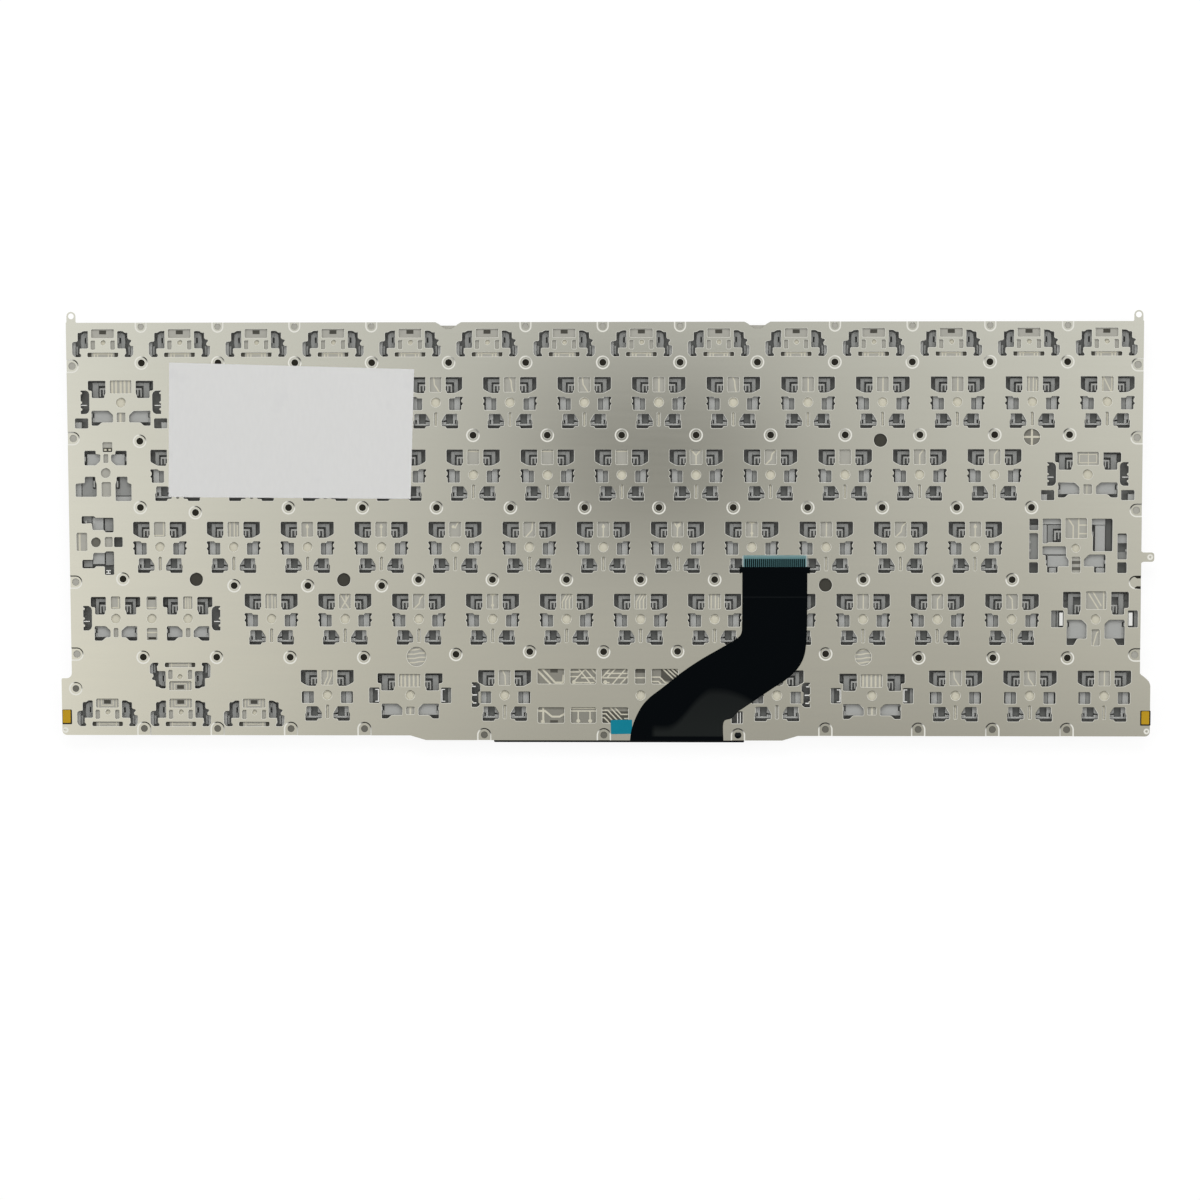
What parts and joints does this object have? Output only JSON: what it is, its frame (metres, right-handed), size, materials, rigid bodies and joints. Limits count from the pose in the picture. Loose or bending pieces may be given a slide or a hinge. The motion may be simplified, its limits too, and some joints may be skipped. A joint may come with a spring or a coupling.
{
  "type": "laptop replacement keyboard",
  "caption": "Laptop replacement keyboard lying on its keys: pierced metal back plate with folded ribbon tail, contact sheet, rubber domes and low keys that press in.",
  "frame": {"origin": "middle of the footprint, on the surface that the key tops rest on", "axes": "+X along the rows towards the tab key, +Y towards the function keys, +Z out of the plate's back"},
  "size_m": [0.2806, 0.1112, 0.0043],
  "materials": {
    "plate_metal": "satin stamped sheet",
    "contact_film": "smooth film",
    "dome_rubber": "matt silicone",
    "key_plastic": "fine matt",
    "ribbon_film": "glossy film",
    "contact_strip": "gloss",
    "label_paper": "coated paper",
    "teal_tape": "satin film",
    "amber_tape": "gloss film"
  },
  "bodies": {
    "chassis": {"base_plate": "plate_metal", "membrane": "contact_film", "rubber_domes": "dome_rubber", "function_row_keys": "key_plastic", "number_row_keys": "key_plastic", "arrow_keys": "key_plastic", "ribbon_cable": "ribbon_film", "ribbon_contacts": "contact_strip", "paper_label": "label_paper", "tab_tape": "teal_tape", "side_tapes": "amber_tape"},
    "delete_key": {"delete_key": "key_plastic"},
    "tab_key": {"tab_key": "key_plastic"},
    "caps_key": {"caps_key": "key_plastic"},
    "shift_left_key": {"shift_left_key": "key_plastic"},
    "shift_right_key": {"shift_right_key": "key_plastic"},
    "command_left_key": {"command_left_key": "key_plastic"},
    "command_right_key": {"command_right_key": "key_plastic"},
    "space_key": {"space_key": "key_plastic"},
    "enter_key": {"enter_key": "key_plastic"},
    "tab_row_key_01": {"tab_row_key_01": "key_plastic"},
    "tab_row_key_02": {"tab_row_key_02": "key_plastic"},
    "tab_row_key_03": {"tab_row_key_03": "key_plastic"},
    "tab_row_key_04": {"tab_row_key_04": "key_plastic"},
    "tab_row_key_05": {"tab_row_key_05": "key_plastic"},
    "tab_row_key_06": {"tab_row_key_06": "key_plastic"},
    "tab_row_key_07": {"tab_row_key_07": "key_plastic"},
    "tab_row_key_08": {"tab_row_key_08": "key_plastic"},
    "tab_row_key_09": {"tab_row_key_09": "key_plastic"},
    "tab_row_key_10": {"tab_row_key_10": "key_plastic"},
    "tab_row_key_11": {"tab_row_key_11": "key_plastic"},
    "tab_row_key_12": {"tab_row_key_12": "key_plastic"},
    "home_row_key_01": {"home_row_key_01": "key_plastic"},
    "home_row_key_02": {"home_row_key_02": "key_plastic"},
    "home_row_key_03": {"home_row_key_03": "key_plastic"},
    "home_row_key_04": {"home_row_key_04": "key_plastic"},
    "home_row_key_05": {"home_row_key_05": "key_plastic"},
    "home_row_key_06": {"home_row_key_06": "key_plastic"},
    "home_row_key_07": {"home_row_key_07": "key_plastic"},
    "home_row_key_08": {"home_row_key_08": "key_plastic"},
    "home_row_key_09": {"home_row_key_09": "key_plastic"},
    "home_row_key_10": {"home_row_key_10": "key_plastic"},
    "home_row_key_11": {"home_row_key_11": "key_plastic"},
    "home_row_key_12": {"home_row_key_12": "key_plastic"},
    "shift_row_key_01": {"shift_row_key_01": "key_plastic"},
    "shift_row_key_02": {"shift_row_key_02": "key_plastic"},
    "shift_row_key_03": {"shift_row_key_03": "key_plastic"},
    "shift_row_key_04": {"shift_row_key_04": "key_plastic"},
    "shift_row_key_05": {"shift_row_key_05": "key_plastic"},
    "shift_row_key_06": {"shift_row_key_06": "key_plastic"},
    "shift_row_key_07": {"shift_row_key_07": "key_plastic"},
    "shift_row_key_08": {"shift_row_key_08": "key_plastic"},
    "shift_row_key_09": {"shift_row_key_09": "key_plastic"},
    "shift_row_key_10": {"shift_row_key_10": "key_plastic"},
    "shift_row_key_11": {"shift_row_key_11": "key_plastic"},
    "bottom_row_key_1": {"bottom_row_key_1": "key_plastic"},
    "bottom_row_key_2": {"bottom_row_key_2": "key_plastic"},
    "bottom_row_key_3": {"bottom_row_key_3": "key_plastic"},
    "bottom_row_key_4": {"bottom_row_key_4": "key_plastic"}
  },
  "joints": [
    {"name": "delete_press", "type": "slide", "parent": "chassis", "child": "delete_key", "axis": [0, 0, 1], "range_m": [0, 0.0015], "stiffness_N_per_m": 350, "springref_m": -0.0006, "deforming": ["rubber_domes"]},
    {"name": "tab_press", "type": "slide", "parent": "chassis", "child": "tab_key", "axis": [0, 0, 1], "range_m": [0, 0.0015], "stiffness_N_per_m": 350, "springref_m": -0.0006},
    {"name": "caps_press", "type": "slide", "parent": "chassis", "child": "caps_key", "axis": [0, 0, 1], "range_m": [0, 0.0015], "stiffness_N_per_m": 350, "springref_m": -0.0006},
    {"name": "shift_left_press", "type": "slide", "parent": "chassis", "child": "shift_left_key", "axis": [0, 0, 1], "range_m": [0, 0.0015], "stiffness_N_per_m": 350, "springref_m": -0.0006},
    {"name": "shift_right_press", "type": "slide", "parent": "chassis", "child": "shift_right_key", "axis": [0, 0, 1], "range_m": [0, 0.0015], "stiffness_N_per_m": 350, "springref_m": -0.0006},
    {"name": "command_left_press", "type": "slide", "parent": "chassis", "child": "command_left_key", "axis": [0, 0, 1], "range_m": [0, 0.0015], "stiffness_N_per_m": 350, "springref_m": -0.0006},
    {"name": "command_right_press", "type": "slide", "parent": "chassis", "child": "command_right_key", "axis": [0, 0, 1], "range_m": [0, 0.0015], "stiffness_N_per_m": 350, "springref_m": -0.0006},
    {"name": "space_press", "type": "slide", "parent": "chassis", "child": "space_key", "axis": [0, 0, 1], "range_m": [0, 0.0015], "stiffness_N_per_m": 350, "springref_m": -0.0006},
    {"name": "enter_press", "type": "slide", "parent": "chassis", "child": "enter_key", "axis": [0, 0, 1], "range_m": [0, 0.0015], "stiffness_N_per_m": 350, "springref_m": -0.0006},
    {"name": "tab_row_press_01", "type": "slide", "parent": "chassis", "child": "tab_row_key_01", "axis": [0, 0, 1], "range_m": [0, 0.0015], "stiffness_N_per_m": 350, "springref_m": -0.0006},
    {"name": "tab_row_press_02", "type": "slide", "parent": "chassis", "child": "tab_row_key_02", "axis": [0, 0, 1], "range_m": [0, 0.0015], "stiffness_N_per_m": 350, "springref_m": -0.0006},
    {"name": "tab_row_press_03", "type": "slide", "parent": "chassis", "child": "tab_row_key_03", "axis": [0, 0, 1], "range_m": [0, 0.0015], "stiffness_N_per_m": 350, "springref_m": -0.0006},
    {"name": "tab_row_press_04", "type": "slide", "parent": "chassis", "child": "tab_row_key_04", "axis": [0, 0, 1], "range_m": [0, 0.0015], "stiffness_N_per_m": 350, "springref_m": -0.0006},
    {"name": "tab_row_press_05", "type": "slide", "parent": "chassis", "child": "tab_row_key_05", "axis": [0, 0, 1], "range_m": [0, 0.0015], "stiffness_N_per_m": 350, "springref_m": -0.0006},
    {"name": "tab_row_press_06", "type": "slide", "parent": "chassis", "child": "tab_row_key_06", "axis": [0, 0, 1], "range_m": [0, 0.0015], "stiffness_N_per_m": 350, "springref_m": -0.0006},
    {"name": "tab_row_press_07", "type": "slide", "parent": "chassis", "child": "tab_row_key_07", "axis": [0, 0, 1], "range_m": [0, 0.0015], "stiffness_N_per_m": 350, "springref_m": -0.0006},
    {"name": "tab_row_press_08", "type": "slide", "parent": "chassis", "child": "tab_row_key_08", "axis": [0, 0, 1], "range_m": [0, 0.0015], "stiffness_N_per_m": 350, "springref_m": -0.0006},
    {"name": "tab_row_press_09", "type": "slide", "parent": "chassis", "child": "tab_row_key_09", "axis": [0, 0, 1], "range_m": [0, 0.0015], "stiffness_N_per_m": 350, "springref_m": -0.0006},
    {"name": "tab_row_press_10", "type": "slide", "parent": "chassis", "child": "tab_row_key_10", "axis": [0, 0, 1], "range_m": [0, 0.0015], "stiffness_N_per_m": 350, "springref_m": -0.0006},
    {"name": "tab_row_press_11", "type": "slide", "parent": "chassis", "child": "tab_row_key_11", "axis": [0, 0, 1], "range_m": [0, 0.0015], "stiffness_N_per_m": 350, "springref_m": -0.0006},
    {"name": "tab_row_press_12", "type": "slide", "parent": "chassis", "child": "tab_row_key_12", "axis": [0, 0, 1], "range_m": [0, 0.0015], "stiffness_N_per_m": 350, "springref_m": -0.0006},
    {"name": "home_row_press_01", "type": "slide", "parent": "chassis", "child": "home_row_key_01", "axis": [0, 0, 1], "range_m": [0, 0.0015], "stiffness_N_per_m": 350, "springref_m": -0.0006},
    {"name": "home_row_press_02", "type": "slide", "parent": "chassis", "child": "home_row_key_02", "axis": [0, 0, 1], "range_m": [0, 0.0015], "stiffness_N_per_m": 350, "springref_m": -0.0006},
    {"name": "home_row_press_03", "type": "slide", "parent": "chassis", "child": "home_row_key_03", "axis": [0, 0, 1], "range_m": [0, 0.0015], "stiffness_N_per_m": 350, "springref_m": -0.0006},
    {"name": "home_row_press_04", "type": "slide", "parent": "chassis", "child": "home_row_key_04", "axis": [0, 0, 1], "range_m": [0, 0.0015], "stiffness_N_per_m": 350, "springref_m": -0.0006},
    {"name": "home_row_press_05", "type": "slide", "parent": "chassis", "child": "home_row_key_05", "axis": [0, 0, 1], "range_m": [0, 0.0015], "stiffness_N_per_m": 350, "springref_m": -0.0006},
    {"name": "home_row_press_06", "type": "slide", "parent": "chassis", "child": "home_row_key_06", "axis": [0, 0, 1], "range_m": [0, 0.0015], "stiffness_N_per_m": 350, "springref_m": -0.0006},
    {"name": "home_row_press_07", "type": "slide", "parent": "chassis", "child": "home_row_key_07", "axis": [0, 0, 1], "range_m": [0, 0.0015], "stiffness_N_per_m": 350, "springref_m": -0.0006},
    {"name": "home_row_press_08", "type": "slide", "parent": "chassis", "child": "home_row_key_08", "axis": [0, 0, 1], "range_m": [0, 0.0015], "stiffness_N_per_m": 350, "springref_m": -0.0006},
    {"name": "home_row_press_09", "type": "slide", "parent": "chassis", "child": "home_row_key_09", "axis": [0, 0, 1], "range_m": [0, 0.0015], "stiffness_N_per_m": 350, "springref_m": -0.0006},
    {"name": "home_row_press_10", "type": "slide", "parent": "chassis", "child": "home_row_key_10", "axis": [0, 0, 1], "range_m": [0, 0.0015], "stiffness_N_per_m": 350, "springref_m": -0.0006},
    {"name": "home_row_press_11", "type": "slide", "parent": "chassis", "child": "home_row_key_11", "axis": [0, 0, 1], "range_m": [0, 0.0015], "stiffness_N_per_m": 350, "springref_m": -0.0006},
    {"name": "home_row_press_12", "type": "slide", "parent": "chassis", "child": "home_row_key_12", "axis": [0, 0, 1], "range_m": [0, 0.0015], "stiffness_N_per_m": 350, "springref_m": -0.0006},
    {"name": "shift_row_press_01", "type": "slide", "parent": "chassis", "child": "shift_row_key_01", "axis": [0, 0, 1], "range_m": [0, 0.0015], "stiffness_N_per_m": 350, "springref_m": -0.0006},
    {"name": "shift_row_press_02", "type": "slide", "parent": "chassis", "child": "shift_row_key_02", "axis": [0, 0, 1], "range_m": [0, 0.0015], "stiffness_N_per_m": 350, "springref_m": -0.0006},
    {"name": "shift_row_press_03", "type": "slide", "parent": "chassis", "child": "shift_row_key_03", "axis": [0, 0, 1], "range_m": [0, 0.0015], "stiffness_N_per_m": 350, "springref_m": -0.0006},
    {"name": "shift_row_press_04", "type": "slide", "parent": "chassis", "child": "shift_row_key_04", "axis": [0, 0, 1], "range_m": [0, 0.0015], "stiffness_N_per_m": 350, "springref_m": -0.0006},
    {"name": "shift_row_press_05", "type": "slide", "parent": "chassis", "child": "shift_row_key_05", "axis": [0, 0, 1], "range_m": [0, 0.0015], "stiffness_N_per_m": 350, "springref_m": -0.0006},
    {"name": "shift_row_press_06", "type": "slide", "parent": "chassis", "child": "shift_row_key_06", "axis": [0, 0, 1], "range_m": [0, 0.0015], "stiffness_N_per_m": 350, "springref_m": -0.0006},
    {"name": "shift_row_press_07", "type": "slide", "parent": "chassis", "child": "shift_row_key_07", "axis": [0, 0, 1], "range_m": [0, 0.0015], "stiffness_N_per_m": 350, "springref_m": -0.0006},
    {"name": "shift_row_press_08", "type": "slide", "parent": "chassis", "child": "shift_row_key_08", "axis": [0, 0, 1], "range_m": [0, 0.0015], "stiffness_N_per_m": 350, "springref_m": -0.0006},
    {"name": "shift_row_press_09", "type": "slide", "parent": "chassis", "child": "shift_row_key_09", "axis": [0, 0, 1], "range_m": [0, 0.0015], "stiffness_N_per_m": 350, "springref_m": -0.0006},
    {"name": "shift_row_press_10", "type": "slide", "parent": "chassis", "child": "shift_row_key_10", "axis": [0, 0, 1], "range_m": [0, 0.0015], "stiffness_N_per_m": 350, "springref_m": -0.0006},
    {"name": "shift_row_press_11", "type": "slide", "parent": "chassis", "child": "shift_row_key_11", "axis": [0, 0, 1], "range_m": [0, 0.0015], "stiffness_N_per_m": 350, "springref_m": -0.0006},
    {"name": "bottom_row_press_1", "type": "slide", "parent": "chassis", "child": "bottom_row_key_1", "axis": [0, 0, 1], "range_m": [0, 0.0015], "stiffness_N_per_m": 350, "springref_m": -0.0006},
    {"name": "bottom_row_press_2", "type": "slide", "parent": "chassis", "child": "bottom_row_key_2", "axis": [0, 0, 1], "range_m": [0, 0.0015], "stiffness_N_per_m": 350, "springref_m": -0.0006},
    {"name": "bottom_row_press_3", "type": "slide", "parent": "chassis", "child": "bottom_row_key_3", "axis": [0, 0, 1], "range_m": [0, 0.0015], "stiffness_N_per_m": 350, "springref_m": -0.0006},
    {"name": "bottom_row_press_4", "type": "slide", "parent": "chassis", "child": "bottom_row_key_4", "axis": [0, 0, 1], "range_m": [0, 0.0015], "stiffness_N_per_m": 350, "springref_m": -0.0006}
  ]
}
